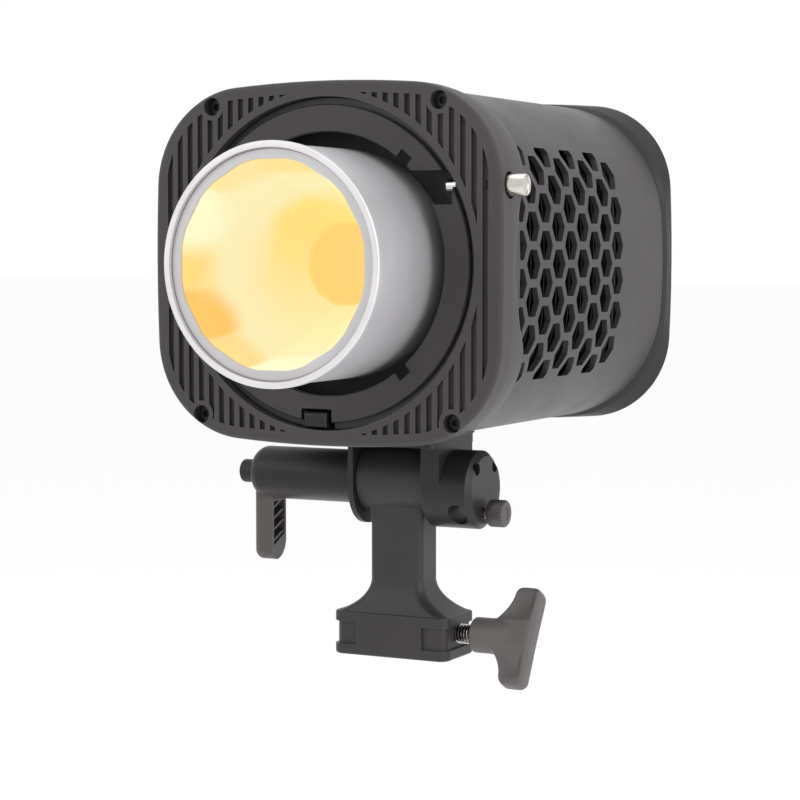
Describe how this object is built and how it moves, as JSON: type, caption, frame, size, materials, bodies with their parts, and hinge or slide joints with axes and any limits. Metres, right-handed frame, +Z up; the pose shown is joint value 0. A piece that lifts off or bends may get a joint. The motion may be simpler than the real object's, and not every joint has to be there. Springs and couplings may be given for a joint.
{
  "type": "led studio spotlight",
  "caption": "LED studio spotlight head with a faceted silver reflector in a bayonet mount, vented casing, rear controls and a tilt bracket with a clamp for a stand spigot.",
  "frame": {"origin": "middle of the spigot socket's mouth, on the underside of the stand block", "axes": "+Z up out of the stand, -Y the way the lamp shines, +X to the right seen from the front"},
  "size_m": [0.1541, 0.2276, 0.2363],
  "materials": {
    "charcoal_metal": "satin charcoal paint",
    "charcoal_front": "matte charcoal paint",
    "charcoal_rear": "matte charcoal",
    "charcoal_plastic": "satin warm grey",
    "black_plastic": "matte black",
    "black_steel": "black oxide",
    "plated_steel": "zinc plated",
    "polished_knob": "turned and knurled",
    "ring_metal": "dark satin",
    "barrel_metal": "matte anodised silver",
    "cooling_aluminium": "mill finish",
    "pipe_copper": "copper",
    "phosphor": "yellow phosphor",
    "washer_polymer": "black polymer",
    "circuit_board": "soldermask green",
    "panel_film": "black film",
    "display_glass": "gloss black window",
    "control_rubber": "dark grey rubber",
    "control_knob": "satin black, ribbed",
    "switch_rocker": "gloss black"
  },
  "bodies": {
    "stand_adapter": {"tilt_stem": "charcoal_metal", "friction_washers": "washer_polymer"},
    "clamp_tip": {"clamp_pad": "plated_steel"},
    "clamp_knob": {"clamp_screw": "plated_steel", "clamp_handle": "charcoal_plastic"},
    "clamp_bolt": {"tilt_bolt": "plated_steel", "lever_cap": "black_plastic", "lever_spring": "plated_steel"},
    "lever": {"tilt_lever": "charcoal_plastic"},
    "umbrella_tip": {"umbrella_pad": "plated_steel"},
    "umbrella_thumb": {"umbrella_screw": "polished_knob"},
    "release": {"release_pin": "plated_steel", "release_knob": "polished_knob"},
    "detent": {"detent_tab": "black_plastic"},
    "fan": {"fan_rotor": "black_plastic"},
    "intensity_dial": {"intensity_knob": "control_knob"},
    "colour_dial": {"colour_knob": "control_knob"},
    "menu_key": {"menu_button": "control_rubber"},
    "mode_key": {"mode_button": "control_rubber"},
    "power_key": {"power_rocker": "switch_rocker"},
    "lamp_head": {"barrel_lip": "barrel_metal", "bezel_screws": "black_steel", "bracket_screws": "black_steel", "cob_holder": "black_plastic", "cob_phosphor": "phosphor", "cob_screws": "black_steel", "cob_substrate": "cooling_aluminium", "control_board": "circuit_board", "control_panel": "panel_film", "detent_spring": "plated_steel", "display_window": "display_glass", "ear_screws": "black_steel", "encoders": "black_plastic", "faceted_reflector": "barrel_metal", "fan_frame": "black_plastic", "fan_screws": "black_steel", "fan_shroud": "black_plastic", "frame_posts": "plated_steel", "front_bezel": "charcoal_front", "heat_pipes": "pipe_copper", "heat_spreader": "cooling_aluminium", "heatsink_fins": "cooling_aluminium", "inlet_pins": "plated_steel", "mid_housing": "charcoal_metal", "mount_housing": "black_plastic", "mount_ring": "ring_metal", "power_board": "circuit_board", "power_inlet": "black_plastic", "power_parts": "circuit_board", "rear_cover": "charcoal_rear", "rear_frame": "plated_steel", "rear_gasket": "washer_polymer", "rear_screws": "black_steel", "reflector_barrel": "barrel_metal", "release_bush": "black_plastic", "release_spring": "plated_steel", "switch_frame": "black_plastic", "tilt_bracket": "charcoal_metal", "tilt_nut": "plated_steel", "usb_port": "plated_steel"}
  },
  "joints": [
    {"name": "head_tilt", "type": "hinge", "parent": "stand_adapter", "child": "lamp_head", "pos_m": [0, 0, 0.0707], "axis": [1, 0, 0], "range_deg": [-80, 80]},
    {"name": "clamp_slide", "type": "slide", "parent": "stand_adapter", "child": "clamp_tip", "axis": [-1, 0, 0], "range_m": [-0.0025, 0.00125]},
    {"name": "clamp_turn", "type": "hinge", "parent": "clamp_tip", "child": "clamp_knob", "pos_m": [0.03, 0, 0.0098], "axis": [-1, 0, 0], "range_deg": [-720, 360]},
    {"name": "bolt_turn", "type": "hinge", "parent": "lamp_head", "child": "clamp_bolt", "pos_m": [-0.02, 0, 0.0707], "axis": [1, 0, 0], "range_deg": [0, 90]},
    {"name": "lever_pull", "type": "slide", "parent": "clamp_bolt", "child": "lever", "axis": [-1, 0, 0], "range_m": [0, 0.0055], "stiffness_N_per_m": 400, "deforming": ["lever_spring"]},
    {"name": "umbrella_slide", "type": "slide", "parent": "lamp_head", "child": "umbrella_tip", "axis": [-1, 0, 0], "range_m": [0, 0.0016]},
    {"name": "umbrella_turn", "type": "hinge", "parent": "umbrella_tip", "child": "umbrella_thumb", "pos_m": [0.04, 0, 0.0588], "axis": [-1, 0, 0], "range_deg": [0, 720]},
    {"name": "release_pull", "type": "slide", "parent": "lamp_head", "child": "release", "axis": [1, 0, 0], "range_m": [0, 0.004], "stiffness_N_per_m": 600, "deforming": ["release_spring"]},
    {"name": "detent_press", "type": "slide", "parent": "lamp_head", "child": "detent", "axis": [0, 1, 0], "range_m": [0, 0.001], "stiffness_N_per_m": 800, "deforming": ["detent_spring"]},
    {"name": "fan_spin", "type": "hinge", "parent": "lamp_head", "child": "fan", "pos_m": [0, 0.06, 0.1572], "axis": [0, 1, 0], "continuous": true},
    {"name": "intensity_turn", "type": "hinge", "parent": "lamp_head", "child": "intensity_dial", "pos_m": [0.038, 0.112, 0.1752], "axis": [0, 1, 0], "continuous": true},
    {"name": "colour_turn", "type": "hinge", "parent": "lamp_head", "child": "colour_dial", "pos_m": [-0.038, 0.112, 0.1752], "axis": [0, 1, 0], "continuous": true},
    {"name": "menu_press", "type": "slide", "parent": "lamp_head", "child": "menu_key", "axis": [0, -1, 0], "range_m": [0, 0.001], "stiffness_N_per_m": 500},
    {"name": "mode_press", "type": "slide", "parent": "lamp_head", "child": "mode_key", "axis": [0, -1, 0], "range_m": [0, 0.001], "stiffness_N_per_m": 500},
    {"name": "power_rock", "type": "hinge", "parent": "lamp_head", "child": "power_key", "pos_m": [-0.006, 0.1072, 0.1292], "axis": [1, 0, 0], "range_deg": [-6, 6]}
  ],
  "couplings": [
    {"joint": "clamp_turn", "follows": "clamp_slide", "rad_per_m": 5026.5},
    {"joint": "umbrella_turn", "follows": "umbrella_slide", "rad_per_m": 7853.9}
  ]
}
